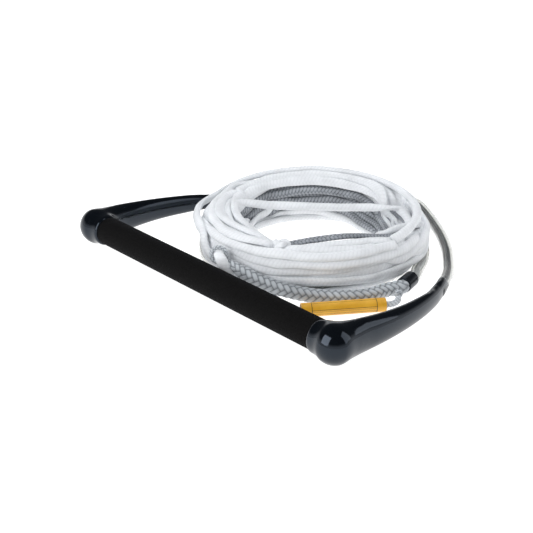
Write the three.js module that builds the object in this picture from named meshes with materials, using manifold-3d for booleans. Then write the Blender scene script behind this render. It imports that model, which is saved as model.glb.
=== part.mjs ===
// Tow rope handle: a padded straight bar with a moulded cap and float arm at each end,
// a rope bridle in clear sleeves, and the handle line and mainline coiled beside the bar.
// Millimetres, +Z up. The bar lies along X; the bridle points along +Y.
import * as THREE from 'three';
import { mergeVertices } from 'three/addons/utils/BufferGeometryUtils.js';
import Module from 'manifold-3d';

const wasm = await Module();
wasm.setup();

// ---------- driving dimensions ----------
const overallWidth = 378;          // cap to cap, the nominal 15 inch handle
const capRadius = 18.5;            // ball over each bar end
const capCentreX = overallWidth / 2 - capRadius;
const barHeight = capRadius;       // the balls stand on the floor and carry the bar
const gripRadius = 14.2;
const gripHalfLength = 151.5;
const barRadius = 11.1;
const barWall = 1.6;
const barHalfLength = 176.9;
const gap = 0.3;                   // clearance between touching pieces

const armLength = 172;             // along the arm, from the ball's centre to its tip
const armFlareDeg = -10;           // the arm leaves the ball turned a little outwards
const armTurnDeg = 31.8;           // and turns inwards by this much over its length,
const armHookDeg = 9.2;            // with this much more close to the tip
const armDrop = [4.75, 3.1];       // linear and square terms of the fall towards the floor
const armHalfHeight = [18.2, -17.7, 7.85];
const armWidthRatio = 0.67;
const armStations = 13;
const armSides = 16;

const bridleRopeRadius = 3.5;
const bridleBore = 4.1;            // the rope's channel along the arm
const capChannel = 4.7;            // and its straight way out through the bar wall and the cap
const sleeveOuter = 6;
const sleeveInner = 4.9;
const knotRadius = 6.2;

const apexX = -36;                 // where both bridle legs meet
const apexY = 311;
const apexZ = 8.4;
const apexRadius = 8;
const apexHalfLength = 18;
const apexStemEndY = 296;

const coilX = -5;                  // centre of the wound mainline
const coilY = 146;
const whiteRing = [                // half section of the white turns: radius, height
  [80, 0], [92.2, 0], [92.2, 13.6], [110, 13.6], [114, 19], [115, 27],
  [113, 38], [107, 48], [99, 53], [88, 53], [80, 47],
];
const greyRing = [                 // half section of the grey turns inside them
  [73.5, 0], [79.6, 0], [79.6, 46.4], [76, 45], [72.5, 39], [72, 10],
];

const leaderRope = 3.3;
const handleLineRadius = 6.6;
const tagLineRadius = 3;
const mainlineRadius = 4.2;
const labelOuter = 6.5;
const labelInner = 5;

// Everything is laid out from the bar's axis, then moved so that the origin is under the
// middle of the handle itself.
const middleY = (apexY + apexRadius - capRadius) / 2;

// ---------- materials ----------
const paint = (color, roughness, metalness = 0) =>
  new THREE.MeshStandardMaterial({ color, roughness, metalness });
const foam = paint(0x151515, 0.95);
const rubber = paint(0x0b0f16, 0.12);
const aluminium = paint(0xb8bcc0, 0.35, 1);
const darkRope = paint(0x2a2d33, 0.8);
const greyRope = paint(0xa4a8ae, 0.8);
const whiteRope = paint(0xf1f3f5, 0.8);
const clearVinyl = paint(0xd5d8d6, 0.08);
const yellowVinyl = paint(0xf0ac22, 0.35);
const corkFoam = paint(0x30302e, 0.9);
const nylon = paint(0x20242a, 0.5);

const group = new THREE.Group();
group.position.y = -middleY;

function add(name, geometry, material) {
  const mesh = new THREE.Mesh(geometry, material);
  mesh.name = name;
  group.add(mesh);
  return mesh;
}

// ---------- geometry helpers ----------
const point = (x, y, z) => new THREE.Vector3(x, y, z);
const points = (rows) => rows.map((row) => point(...row));

function welded(geometry) {
  geometry.deleteAttribute('normal');
  geometry.deleteAttribute('uv');
  return mergeVertices(geometry, 1e-4);
}

function toSolid(geometry) {
  const flat = welded(geometry);
  return new wasm.Manifold(new wasm.Mesh({
    numProp: 3,
    vertProperties: new Float32Array(flat.attributes.position.array),
    triVerts: new Uint32Array(flat.index.array),
  }));
}

function fromSolid(solid) {
  const data = solid.getMesh();
  const geometry = new THREE.BufferGeometry();
  geometry.setAttribute('position', new THREE.BufferAttribute(data.vertProperties, 3));
  geometry.setIndex(new THREE.BufferAttribute(data.triVerts, 1));
  return geometry;
}

// A body of revolution about the X axis, from [x, radius] rows that start and end on the
// axis or close on themselves.
function turnedX(rows, segments = 32) {
  const profile = rows.map(([x, radius]) => new THREE.Vector2(radius, x));
  return new THREE.LatheGeometry(profile, segments).rotateZ(-Math.PI / 2);
}

function turnedZ(rows, segments) {
  const profile = rows.map(([radius, z]) => new THREE.Vector2(radius, z));
  return new THREE.LatheGeometry(profile, segments).rotateX(Math.PI / 2);
}

const pipeRows = (x0, x1, inner, outer) => [
  [x0, inner], [x0, outer], [x1, outer], [x1, inner], [x0, inner],
];

function polygon(radius, sides, path = new THREE.Shape()) {
  const corners = [];
  for (let i = 0; i < sides; i += 1) {
    const angle = (2 * Math.PI * i) / sides;
    corners.push(new THREE.Vector2(radius * Math.cos(angle), radius * Math.sin(angle)));
  }
  return path.setFromPoints(corners);
}

// A rope or tube along a smooth route; with an inner radius it is a hollow sleeve.
function tube(route, outer, steps, { inner = 0, sides = 10 } = {}) {
  const shape = polygon(outer, sides);
  if (inner > 0) shape.holes.push(polygon(inner, sides, new THREE.Path()));
  const curve = new THREE.CatmullRomCurve3(route, false, 'centripetal');
  return new THREE.ExtrudeGeometry(shape, { steps, extrudePath: curve, bevelEnabled: false });
}

// A straight round bar between two points.
function rod(from, to, radius, sides = 16) {
  const along = to.clone().sub(from);
  const geometry = new THREE.CylinderGeometry(radius, radius, along.length(), sides);
  const turn = new THREE.Quaternion().setFromUnitVectors(point(0, 1, 0), along.normalize());
  geometry.applyQuaternion(turn);
  const middle = from.clone().add(to).multiplyScalar(0.5);
  return geometry.translate(middle.x, middle.y, middle.z);
}

// ---------- the arm's centre line ----------
// u runs from 0 at the ball's centre to 1 at the tip; the list is for the right-hand arm.
const radians = THREE.MathUtils.degToRad;
const armHeading = (u) => radians(armFlareDeg + armTurnDeg * u + armHookDeg * u ** 3);
const armZ = (u) => barHeight - armDrop[0] * u - armDrop[1] * u * u;
const armHalf = (u) => armHalfHeight[0] + armHalfHeight[1] * u + armHalfHeight[2] * u * u;

function armCentre(u) {
  const strips = 60;
  let x = capCentreX;
  let y = 0;
  for (let i = 0; i < strips; i += 1) {
    const heading = armHeading((u * (i + 0.5)) / strips);
    x -= (Math.sin(heading) * armLength * u) / strips;
    y += (Math.cos(heading) * armLength * u) / strips;
  }
  return point(x, y, armZ(u));
}

// A closed body between an outer and an inner skin, each a list of equal rings.
function shell(outer, inner) {
  const sides = outer[0].length;
  const rings = [...outer, ...inner.slice().reverse()];
  const vertices = rings.flat().flatMap((p) => [p.x, p.y, p.z]);
  const index = [];
  for (let r = 0; r < rings.length; r += 1) {
    const next = (r + 1) % rings.length;
    for (let i = 0; i < sides; i += 1) {
      const j = (i + 1) % sides;
      const [a, b] = [r * sides + i, r * sides + j];
      const [c, d] = [next * sides + j, next * sides + i];
      index.push(a, c, b, a, d, c);
    }
  }
  const geometry = new THREE.BufferGeometry();
  geometry.setAttribute('position', new THREE.Float32BufferAttribute(vertices, 3));
  geometry.setIndex(index);
  return geometry;
}

function armShell() {
  const outer = [];
  const inner = [];
  for (let k = 0; k <= armStations; k += 1) {
    const u = 0.03 + (0.97 * k) / armStations;
    const centre = armCentre(u);
    const heading = armHeading(u);
    const sideways = point(Math.cos(heading), Math.sin(heading), 0);
    const rounding = Math.sqrt(1 - 0.3 * Math.max(0, (u - 0.93) / 0.07) ** 2);
    const ring = (halfWidth, halfHeight) => {
      const corners = [];
      for (let i = 0; i < armSides; i += 1) {
        const angle = (2 * Math.PI * i) / armSides;
        corners.push(centre.clone()
          .addScaledVector(sideways, halfWidth * Math.cos(angle))
          .add(point(0, 0, halfHeight * Math.sin(angle))));
      }
      return corners;
    };
    const half = armHalf(u) * rounding;
    outer.push(ring(half * armWidthRatio, half));
    inner.push(ring(bridleBore, bridleBore));
  }
  return shell(outer, inner);
}

// ---------- bar, grip and what is inside the bar ends ----------
const axisX = (geometry) => geometry.translate(0, 0, barHeight);
const ballCentre = armCentre(0);
const ropeOut = point(-Math.sin(armHeading(0)), Math.cos(armHeading(0)), 0);
const ropePoint = (distance) => ballCentre.clone().addScaledVector(ropeOut, distance);
const mirrored = (p) => point(-p.x, p.y, p.z);
const sides = [['right', (p) => p], ['left', mirrored]];

let bar = toSolid(axisX(turnedX(
  pipeRows(-barHalfLength, barHalfLength, barRadius - barWall, barRadius), 32)));
for (const [, place] of sides) {
  bar = bar.subtract(toSolid(rod(place(ropePoint(2)), place(ropePoint(16)), capChannel)));
}
add('bar_tube', fromSolid(bar), aluminium);

const grip = pipeRows(-gripHalfLength, gripHalfLength, barRadius + gap, gripRadius);
add('grip_sleeve', axisX(turnedX(grip, 32)), foam);

// ---------- moulded caps ----------
function capProfile() {
  const socketEnd = barHalfLength + gap;
  const socket = barRadius + gap;
  const start = gripHalfLength + gap;
  const rows = [
    [socketEnd, 0], [socketEnd, socket], [start, socket], [start, 14.6],
    [start + 2, 15.4], [start + 7, 15.8],
  ];
  for (let degrees = -30; degrees <= 90; degrees += 10) {
    const angle = radians(degrees);
    const radius = degrees === 90 ? 0 : capRadius * Math.cos(angle);
    rows.push([capCentreX + capRadius * Math.sin(angle), radius]);
  }
  return rows;
}

const armBody = toSolid(armShell())
  .subtract(toSolid(new THREE.SphereGeometry(capRadius + gap, 32, 24)
    .translate(ballCentre.x, ballCentre.y, ballCentre.z)));
const capBody = toSolid(axisX(turnedX(capProfile(), 32)))
  .subtract(toSolid(rod(ropePoint(2), ropePoint(30), capChannel)));

for (const [side, place] of sides) {
  const mirror = side === 'left' ? [-1, 1, 1] : [1, 1, 1];
  add(`end_cap_${side}`, fromSolid(capBody.scale(mirror)), rubber);
  add(`float_arm_${side}`, fromSolid(armBody.scale(mirror)), rubber);

  const centre = place(ballCentre);
  add(`bridle_knot_${side}`, new THREE.SphereGeometry(knotRadius, 16, 10)
    .translate(centre.x, centre.y, centre.z), darkRope);

  const washerNear = place(ropePoint(knotRadius + gap));
  const washerFar = place(ropePoint(knotRadius + gap + 1.2));
  const washer = toSolid(rod(washerNear, washerFar, 5, 20))
    .subtract(toSolid(rod(centre, place(ropePoint(16)), bridleRopeRadius + gap, 12)));
  add(`knot_washer_${side}`, fromSolid(washer), nylon);

  const sign = side === 'left' ? -1 : 1;
  const plug = [[135, 0], [135, barRadius - barWall - gap], [160, barRadius - barWall - gap], [160, 0]];
  const plugRows = plug.map(([x, radius]) => [sign * x, radius]);
  if (sign < 0) plugRows.reverse();
  add(`bar_plug_${side}`, axisX(turnedX(plugRows, 20)), corkFoam);
}

// ---------- bridle legs ----------
// Each leg is laid on the floor from the arm's tip to the apex.
const legs = {
  right: [
    [139.5, 180, 9.2], [128, 198, 7.5], [112, 218, 6.4], [92, 240, 6.2], [68, 262, 6.2],
    [42, 282, 6.2], [17, 299, 6.6], [2, 307, 7.5], [-9, 310.9, 8.3],
    [apexX + apexHalfLength + gap, apexY, apexZ],
  ],
  left: [
    [-139.5, 180, 9.2], [-134.5, 198, 7.8], [-134, 222, 6.5], [-138, 248, 6.2],
    [-135, 274, 6.2], [-121, 296, 6.2], [-100, 308, 6.4], [-78, 311.3, 7.6], [-63, 311.1, 8.3],
    [apexX - apexHalfLength - gap, apexY, apexZ],
  ],
};
const intoApex = 7;
for (const [side, place] of sides) {
  const leg = points(legs[side]);
  const end = leg[leg.length - 1].clone();
  const inside = end.clone().setX(end.x + (side === 'right' ? -intoApex : intoApex));
  const tip = place(armCentre(1));
  const beyond = place(armCentre(1).addScaledVector(
    point(-Math.sin(armHeading(1)), Math.cos(armHeading(1)), 0), 1));
  const inArm = [0.08, 0.16, 0.26, 0.4, 0.55, 0.7, 0.85].map((u) => place(armCentre(u)));
  const start = place(ropePoint(knotRadius + gap));
  add(`bridle_rope_${side}`,
    tube([start, ...inArm, tip, ...leg, inside], bridleRopeRadius, 30, { sides: 8 }), darkRope);
  add(`bridle_sleeve_${side}`,
    tube([beyond, ...leg], sleeveOuter, 14, { inner: sleeveInner }), clearVinyl);
}

// ---------- apex ----------
const apexSocket = 5.6;
const apex = toSolid(turnedX([
  [-apexHalfLength, 0], [-apexHalfLength, 7.2], [-apexHalfLength + 1.2, apexRadius],
  [apexHalfLength - 1.2, apexRadius], [apexHalfLength, 7.2], [apexHalfLength, 0],
], 24).translate(apexX, apexY, apexZ))
  .add(toSolid(rod(point(apexX, apexY, apexZ), point(apexX, apexStemEndY, apexZ), 7.4, 20)))
  .subtract(toSolid(rod(point(apexX - 30, apexY, apexZ), point(apexX - 8, apexY, apexZ), apexSocket)))
  .subtract(toSolid(rod(point(apexX + 8, apexY, apexZ), point(apexX + 30, apexY, apexZ), apexSocket)))
  .subtract(toSolid(rod(point(apexX, 303, apexZ), point(apexX, 290, apexZ), apexSocket)));
add('apex_joiner', fromSolid(apex), rubber);

// ---------- leader: a clear sleeve over a light rope, once round under the coil ----------
// Rows are the angle about the coil's centre in degrees, the radius and the height.
const leaderRoute = [
  [102, 148, 8.4], [100, 136, 7], [97, 123.5, 6.2], [88, 110.5, 6.2], [75, 102.5, 6.2],
  [60, 99.6, 6.2], [30, 99.5, 6.2], [0, 99.5, 6.2], [-30, 99.7, 6.2], [-60, 100.4, 6.2],
  [-90, 102.8, 6.2], [-120, 108, 6.2], [-150, 111.2, 6.2], [-180, 112.2, 6.2],
  [-205, 113.4, 6.2], [-222, 116.4, 7], [-237, 121.5, 11], [-250, 126, 17], [-261, 128, 19.4],
  [-272, 126.2, 16], [-284, 120.5, 9], [-297, 115, 6.4], [-312, 112.3, 6.2], [-328, 112.2, 6.4],
  [-343, 115.2, 7.2],
];
function polar([degrees, radius, z]) {
  const angle = radians(degrees);
  return point(coilX + radius * Math.cos(angle), coilY + radius * Math.sin(angle), z);
}
const ferruleBack = point(115.4, 159.1, 8);
const ferruleFront = point(120.4, 141.9, 8);
const ferruleRadius = 7.5;
const ferruleAxis = ferruleFront.clone().sub(ferruleBack).normalize();
const apexMouth = point(apexX, apexStemEndY - gap, apexZ);
const leader = [apexMouth, ...leaderRoute.map(polar),
  ferruleBack.clone().addScaledVector(ferruleAxis, -8),
  ferruleBack.clone().addScaledVector(ferruleAxis, -gap)];
const leaderCore = [apexMouth.clone().add(point(0, 5, 0)), ...leader,
  ferruleBack.clone().addScaledVector(ferruleAxis, 7)];
add('leader_sleeve', tube(leader, sleeveOuter, 46, { inner: sleeveInner }), clearVinyl);
add('leader_rope', tube(leaderCore, leaderRope, 46, { sides: 8 }), whiteRope);

const ferruleLength = ferruleFront.distanceTo(ferruleBack);
const ferruleRows = [
  [0, sleeveInner], [0, ferruleRadius - 0.7], [1, ferruleRadius],
  [ferruleLength - 1, ferruleRadius], [ferruleLength, ferruleRadius - 0.7],
  [ferruleLength, sleeveInner], [0, sleeveInner],
];
const ferrule = turnedX(ferruleRows, 24);
ferrule.applyQuaternion(new THREE.Quaternion().setFromUnitVectors(point(1, 0, 0), ferruleAxis));
ferrule.translate(ferruleBack.x, ferruleBack.y, ferruleBack.z);
add('leader_ferrule', ferrule, rubber);

// ---------- handle line, its loop, and the mainline's end loop ----------
const handleLine = [
  ferruleFront.clone().addScaledVector(ferruleAxis, gap),
  ferruleFront.clone().addScaledVector(ferruleAxis, 5),
  ...points([
    [119.8, 130, 8.5], [117, 118, 9], [115, 104, 9.2], [110.8, 91.7, 9.4], [100.5, 78.5, 9.4],
    [89, 66.2, 9.8], [77.5, 56.2, 11], [65.1, 47.4, 13], [50, 38.7, 16], [36.5, 31.2, 20.5],
    [24, 26, 25], [19.5, 24.6, 27.2],
  ]),
];
add('handle_line', tube(handleLine, handleLineRadius, 12), greyRope);

// The hitch is a small ring of the handle line that stands up across the mainline's end.
const hitch = point(0.5, 19.2, 36);
const hitchFacing = point(0.676, -0.61, 0.413).normalize();
const hitchRing = new THREE.TorusGeometry(6.8, 1.9, 8, 20);
hitchRing.applyQuaternion(new THREE.Quaternion().setFromUnitVectors(point(0, 0, 1), hitchFacing));
hitchRing.translate(hitch.x, hitch.y, hitch.z);
add('handle_line_loop', hitchRing, greyRope);
// The mainline's end swings out in a loose loop beside the coil, passes through the hitch
// and hangs down in front of it.
add('mainline_end_loop', tube([
  ...points([
    [-119, 113, 37.5], [-115.5, 103, 37.5], [-106.5, 86, 39.3], [-92, 68.2, 41],
    [-77, 55.3, 42.6], [-59, 43.9, 42.6], [-43, 35.8, 41], [-35.7, 31.4, 36],
    [-29.5, 28.9, 30], [-20.8, 28.2, 24.8], [-12, 27.2, 24.8], [-4.8, 24.2, 30.5],
  ]),
  hitch,
  ...points([
    [5.2, 15.6, 38.6], [9.8, 13.8, 37], [12, 14.6, 31.5], [12.4, 17.9, 24.8], [12.2, 20, 18],
    [12, 20.8, 11], [12, 21, 5],
  ]),
], mainlineRadius, 26), whiteRope);

// ---------- label sleeve on its thin line ----------
const labelStart = point(92, 37.2, 6.7);
const labelEnd = point(134.4, 101.6, 6.7);
const label = labelEnd.clone().sub(labelStart);
const labelLength = label.length();
const labelTube = turnedX(pipeRows(0, labelLength, labelInner, labelOuter), 20);
labelTube.applyQuaternion(new THREE.Quaternion()
  .setFromUnitVectors(point(1, 0, 0), label.clone().normalize()));
labelTube.translate(labelStart.x, labelStart.y, labelStart.z);
add('label_sleeve', labelTube, yellowVinyl);

const alongLabel = (fraction) => labelStart.clone().addScaledVector(label, fraction);
const tagLine = [
  ...points([
    [11.9, 30.4, 17.5], [26, 33.4, 14.5], [36, 38, 9.6], [43.4, 40.4, 7], [52, 40.6, 4.6],
    [60, 39.2, 4.2], [69.5, 36.4, 4.6], [79.5, 31.6, 5.4],
  ]),
  alongLabel(-0.07), alongLabel(0.1), alongLabel(0.5), alongLabel(0.9), alongLabel(1.07),
  ...points([[137.9, 111.6, 6.8], [136.5, 116.3, 7.4], [134.2, 119.4, 8]]),
];
add('tag_line', tube(tagLine, tagLineRadius, 22, { sides: 8 }), greyRope);
add('tag_knot', new THREE.SphereGeometry(3.8, 14, 10).translate(130.1, 123.6, 9), greyRope);

// ---------- the wound mainline ----------
const closedRows = (rows) => [...rows, rows[0]];
add('mainline_coil_white', turnedZ(closedRows(whiteRing), 48)
  .translate(coilX, coilY, 0), whiteRope);
add('mainline_coil_grey', turnedZ(closedRows(greyRing), 48)
  .translate(coilX, coilY, 0), greyRope);
add('mainline_crossing', tube(points([
  [-57, 104.5, 45.5], [-44, 120, 44.5], [-21, 146.5, 43.6], [5.1, 170, 43.6], [24, 186.5, 44.6],
  [35, 198, 45.5],
]), mainlineRadius, 7), whiteRope);

export default group;
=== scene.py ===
import math

import bpy
import numpy as np
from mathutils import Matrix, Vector


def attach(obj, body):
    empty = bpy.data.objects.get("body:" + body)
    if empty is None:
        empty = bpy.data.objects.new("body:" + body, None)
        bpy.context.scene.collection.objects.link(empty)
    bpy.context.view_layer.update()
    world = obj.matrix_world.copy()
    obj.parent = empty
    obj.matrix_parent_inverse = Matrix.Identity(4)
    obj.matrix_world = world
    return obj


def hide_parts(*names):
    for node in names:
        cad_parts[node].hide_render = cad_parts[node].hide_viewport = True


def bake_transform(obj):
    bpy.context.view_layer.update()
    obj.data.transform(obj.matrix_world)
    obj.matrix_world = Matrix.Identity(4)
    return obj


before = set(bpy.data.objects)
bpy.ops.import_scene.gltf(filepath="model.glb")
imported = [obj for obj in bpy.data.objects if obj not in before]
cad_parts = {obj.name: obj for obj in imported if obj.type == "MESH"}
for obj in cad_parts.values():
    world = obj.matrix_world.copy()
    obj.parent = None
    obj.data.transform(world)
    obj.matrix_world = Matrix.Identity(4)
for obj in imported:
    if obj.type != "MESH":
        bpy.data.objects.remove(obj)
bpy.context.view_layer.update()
scene = bpy.context.scene

MM = 0.001
MIDDLE_Y = 150.25  # the bar's axis lies this far in front of the origin, in millimetres
SEED = 20  # of the winding's random places
SIDES = (("right", 1), ("left", -1))
UP = np.array([0.0, 0.0, 1.0])
PATH_STEP = 0.004  # between the points of a cord's stated path, in metres


def to_row(places):
    """Bar millimetres, laid out from the bar's axis, as metres in the row frame."""
    return (np.array(places, float) - [0.0, MIDDLE_Y, 0.0]) * MM


def linked(name, data):
    obj = bpy.data.objects.new(name, data)
    scene.collection.objects.link(obj)
    return obj


def aimed(name, data, at, target):
    """A camera or light in the scene, looking at a target."""
    obj = linked(name, data)
    obj.location = at
    obj.rotation_mode = "QUATERNION"
    obj.rotation_quaternion = (Vector(target) - Vector(at)).to_track_quat("-Z", "Y")
    return obj


# ---------- camera ----------
CAMERA_AT = (0.7053, -0.7078, 0.4361)
CAMERA_TARGET = (-0.0094, -0.06265, 0.0)
camera_data = bpy.data.cameras.new("camera")
camera_data.lens = 72.6
camera_data.sensor_width = 36.0
scene.camera = aimed("camera", camera_data, CAMERA_AT, CAMERA_TARGET)


# ---------- lines ----------
def spline(points, per=10):
    """A centripetal Catmull-Rom line through points; columns after the third go along with it."""
    p = np.asarray(points, float)
    p = np.vstack([2 * p[0] - p[1], p, 2 * p[-1] - p[-2]])
    a, b, c, d = p[:-3], p[1:-2], p[2:-1], p[3:]

    def knot(u, v):
        return np.maximum(np.linalg.norm(v[:, :3] - u[:, :3], axis=1), 1e-9)[:, None, None] ** 0.5

    t1 = knot(a, b)
    t2 = t1 + knot(b, c)
    t3 = t2 + knot(c, d)
    t = t1 + (t2 - t1) * (np.arange(per) / per)[None, :, None]
    a, b, c, d = (q[:, None, :] for q in (a, b, c, d))
    a1 = (t1 - t) / t1 * a + t / t1 * b
    a2 = (t2 - t) / (t2 - t1) * b + (t - t1) / (t2 - t1) * c
    a3 = (t3 - t) / (t3 - t2) * c + (t - t2) / (t3 - t2) * d
    b1 = (t2 - t) / t2 * a1 + t / t2 * a2
    b2 = (t3 - t) / (t3 - t1) * a2 + (t - t1) / (t3 - t1) * a3
    line = (t2 - t) / (t2 - t1) * b1 + (t - t1) / (t2 - t1) * b2
    return np.vstack([line.reshape(-1, p.shape[1]), p[-2]])


def distance_along(line):
    return np.r_[0.0, np.cumsum(np.linalg.norm(np.diff(line[:, :3], axis=0), axis=1))]


def even(line, step):
    """The same line with its points one step apart."""
    along = distance_along(line)
    at = np.linspace(0.0, along[-1], max(3, int(round(along[-1] / step)) + 1))
    return np.stack([np.interp(at, along, line[:, k]) for k in range(line.shape[1])], 1)


def unit(v):
    return v / np.maximum(np.linalg.norm(v, axis=-1, keepdims=True), 1e-12)


def tangents(line):
    return unit(np.gradient(line[:, :3], axis=0))


def squared(normals, along):
    """The normals, turned square to the line."""
    return unit(normals - along * (normals * along).sum(1, keepdims=True))


def circle_angles(count):
    return np.arange(count) / count * 2 * math.pi


def round_section(across, normals, sides):
    """Unit vectors towards the points round each section of a line."""
    around = circle_angles(sides)
    return across[:, None] * np.cos(around)[:, None] + normals[:, None] * np.sin(around)[:, None]


def carried_normals(line):
    """Normals carried along the line without twisting, from one that faces up."""
    along = tangents(line)
    normals = np.zeros_like(along)
    normal = UP
    for i, t in enumerate(along):
        normal = normal - t * (normal @ t)
        normal = normal / np.linalg.norm(normal)
        normals[i] = normal
    return normals


def smooth_noise(count, spacing, rng, spread=1.0):
    """Smooth random values, with a new one every so many samples."""
    knots = rng.normal(0.0, spread, int(count / spacing) + 4)
    at = np.arange(count) / spacing
    i = at.astype(int)
    f = at - i
    f = f * f * (3 - 2 * f)
    return knots[i] * (1 - f) + knots[i + 1] * f


# ---------- meshes ----------
UV_UNIT = 0.01  # metres of length to one unit of a UV map
BRAID_MIDDLE = 0.75  # the height in a weave that lies on the rope's nominal surface
WOBBLE_LENGTH = 0.018  # over which a rope's width wanders, in metres
SLEEVE_OUTER, SLEEVE_INNER = 6.0, 5.1
SLEEVE_LIP = 0.0004  # how far a cut end bulges, in metres


def grid_object(name, rings, uv_length, closed=False, relief=None):
    """A tube skin from rings of points; open tubes get a fan over each end. uv_length is the
    second UV value of each ring, and relief a value at every point."""
    count, sides = rings.shape[:2]
    vertices = rings.reshape(-1, 3)
    r = np.arange(count if closed else count - 1)
    i = np.arange(sides)
    a = (r[:, None] * sides + i).ravel()
    b = (r[:, None] * sides + (i + 1) % sides).ravel()
    c = (((r[:, None] + 1) % count) * sides + (i + 1) % sides).ravel()
    d = (((r[:, None] + 1) % count) * sides + i).ravel()
    quads = np.stack([a, d, c, b], 1)
    fans = np.zeros((0, 3), int)
    if not closed:
        ends = np.stack([rings[0].mean(0), rings[-1].mean(0)])
        vertices = np.vstack([vertices, ends])
        near, far = len(vertices) - 2, len(vertices) - 1
        last = (count - 1) * sides
        fans = np.vstack([
            np.stack([i, (i + 1) % sides, np.full(sides, near)], 1),
            np.stack([last + (i + 1) % sides, last + i, np.full(sides, far)], 1),
        ])
    mesh = bpy.data.meshes.new(name)
    mesh.vertices.add(len(vertices))
    mesh.vertices.foreach_set("co", vertices.astype(np.float32).ravel())
    loops = np.concatenate([quads.ravel(), fans.ravel()]).astype(np.int32)
    starts = np.concatenate([np.arange(len(quads)) * 4, len(quads) * 4 + np.arange(len(fans)) * 3])
    mesh.loops.add(len(loops))
    mesh.loops.foreach_set("vertex_index", loops)
    mesh.polygons.add(len(quads) + len(fans))
    mesh.polygons.foreach_set("loop_start", starts.astype(np.int32))
    mesh.update(calc_edges=True)
    mesh.shade_smooth()

    if closed:
        uv_length = np.r_[uv_length, 2 * uv_length[-1] - uv_length[-2]]
    u0, u1 = i / sides, (i + 1) / sides
    uv = np.zeros((len(r), sides, 4, 2))
    uv[:, :, 0, 0] = uv[:, :, 1, 0] = u0
    uv[:, :, 2, 0] = uv[:, :, 3, 0] = u1
    uv[:, :, 0, 1] = uv[:, :, 3, 1] = uv_length[r][:, None]
    uv[:, :, 1, 1] = uv[:, :, 2, 1] = uv_length[r + 1][:, None]
    layer = mesh.uv_layers.new(name="UVMap")
    fan_uv = np.zeros((len(fans) * 3, 2))
    layer.data.foreach_set("uv", np.vstack([uv.reshape(-1, 2), fan_uv]).astype(np.float32).ravel())
    if relief is not None:
        values = relief.reshape(-1)
        if not closed:
            values = np.r_[values, 0.5, 0.5]
        mesh.attributes.new("relief", "FLOAT", "POINT").data.foreach_set(
            "value", values.astype(np.float32))
    return linked(name, mesh)


def braid(along, around, carriers, pitch, pair=0.0):
    """Height, 0 to 1, of a two-over, two-under braid; pair splits each strand along its middle."""
    a = carriers * around / (2 * math.pi) + along / pitch
    b = carriers * around / (2 * math.pi) - along / pitch
    i, j = np.round(a), np.round(b)
    first = np.cos(math.pi * (a - i))
    second = np.cos(math.pi * (b - j))
    if pair > 0:
        first = first - pair * np.exp(-((a - i) / 0.1) ** 2)
        second = second - pair * np.exp(-((b - j) / 0.1) ** 2)
    dome_a = np.sin(math.pi * (((i + b + 0.5) % 4) / 2))
    dome_b = np.sin(math.pi * (((a + j + 0.5) % 4 - 2) / 2))
    right = np.clip(first, 0, 1) ** 0.6 * np.clip(dome_a, 0, 1) ** 0.4
    left = np.clip(second, 0, 1) ** 0.6 * np.clip(dome_b, 0, 1) ** 0.4
    return np.where((i + j) % 4 < 2, right, left)


def rope(name, line, half_width, half_thick, sides, step, weave, depth, wobble=0.0, seed=0,
         taper=None):
    """A braided rope along a line in bar millimetres, and its path in metres. The line's columns
    4 to 6, if it has them, are the flat side's normals. weave is (carriers, pitch, pair); taper
    is how long the far end's change of size is and its scale there. Sizes are in millimetres."""
    half_width, half_thick, step, depth = (v * MM for v in (half_width, half_thick, step, depth))
    line = spline(line)
    line = even(np.hstack([to_row(line[:, :3]), line[:, 3:]]), step)
    along = distance_along(line)
    t = tangents(line)
    n = squared(line[:, 3:6] if line.shape[1] > 3 else carried_normals(line), t)
    w = np.cross(t, n)
    around = circle_angles(sides)
    c, s = np.cos(around), np.sin(around)
    carriers, pitch, pair = weave
    height = braid(along[:, None], around, carriers, pitch * MM, pair)
    scale = np.ones(len(line))
    if wobble > 0:
        rng = np.random.default_rng(seed)
        scale = 1 + wobble * smooth_noise(len(line), WOBBLE_LENGTH / step, rng)
        scale = np.clip(scale, 1 - 2 * wobble, 1 + 2 * wobble)
    wide = (half_width * scale)[:, None]
    thick = (half_thick / scale)[:, None]
    out = unit(np.stack([c / half_width, s / half_thick], 1))
    x = wide * c + depth * (height - BRAID_MIDDLE) * out[:, 0]
    y = thick * s + depth * (height - BRAID_MIDDLE) * out[:, 1]
    near = np.minimum(along, along[-1] - along) / half_thick
    close = np.sqrt(np.clip(1 - (1 - np.clip(near, 0, 1)) ** 2, 0.03, 1))  # rounds the ends
    if taper:
        reach, left = taper
        f = np.clip((along[-1] - along) / (reach * MM), 0, 1)
        close = close * (left + (1 - left) * f * f * (3 - 2 * f))
    x, y = x * close[:, None], y * close[:, None]
    rings = line[:, None, :3] + w[:, None] * x[..., None] + n[:, None] * y[..., None]
    return grid_object(name, rings, along / UV_UNIT, relief=height), even(line[:, :3], PATH_STEP)


def sleeve(name, line, step, sides=28):
    """A clear hose with a real wall, along a line in bar millimetres."""
    line = even(to_row(line), step * MM)
    t, n = tangents(line), carried_normals(line)
    out = round_section(np.cross(t, n), n, sides)
    outer, inner = SLEEVE_OUTER * MM, SLEEVE_INNER * MM
    middle = (outer + inner) / 2

    def skin(r):
        return line[:, None, :3] + r * out

    def rim(index, sign):
        return skin(middle)[index] + sign * SLEEVE_LIP * t[index]

    rings = np.concatenate([
        skin(outer), rim(-1, 1)[None], skin(inner)[::-1], rim(0, -1)[None],
    ])
    along = distance_along(line)
    lengths = np.r_[along, along[-1], along[::-1], along[0]] / UV_UNIT
    return grid_object(name, rings, lengths, closed=True)


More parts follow.
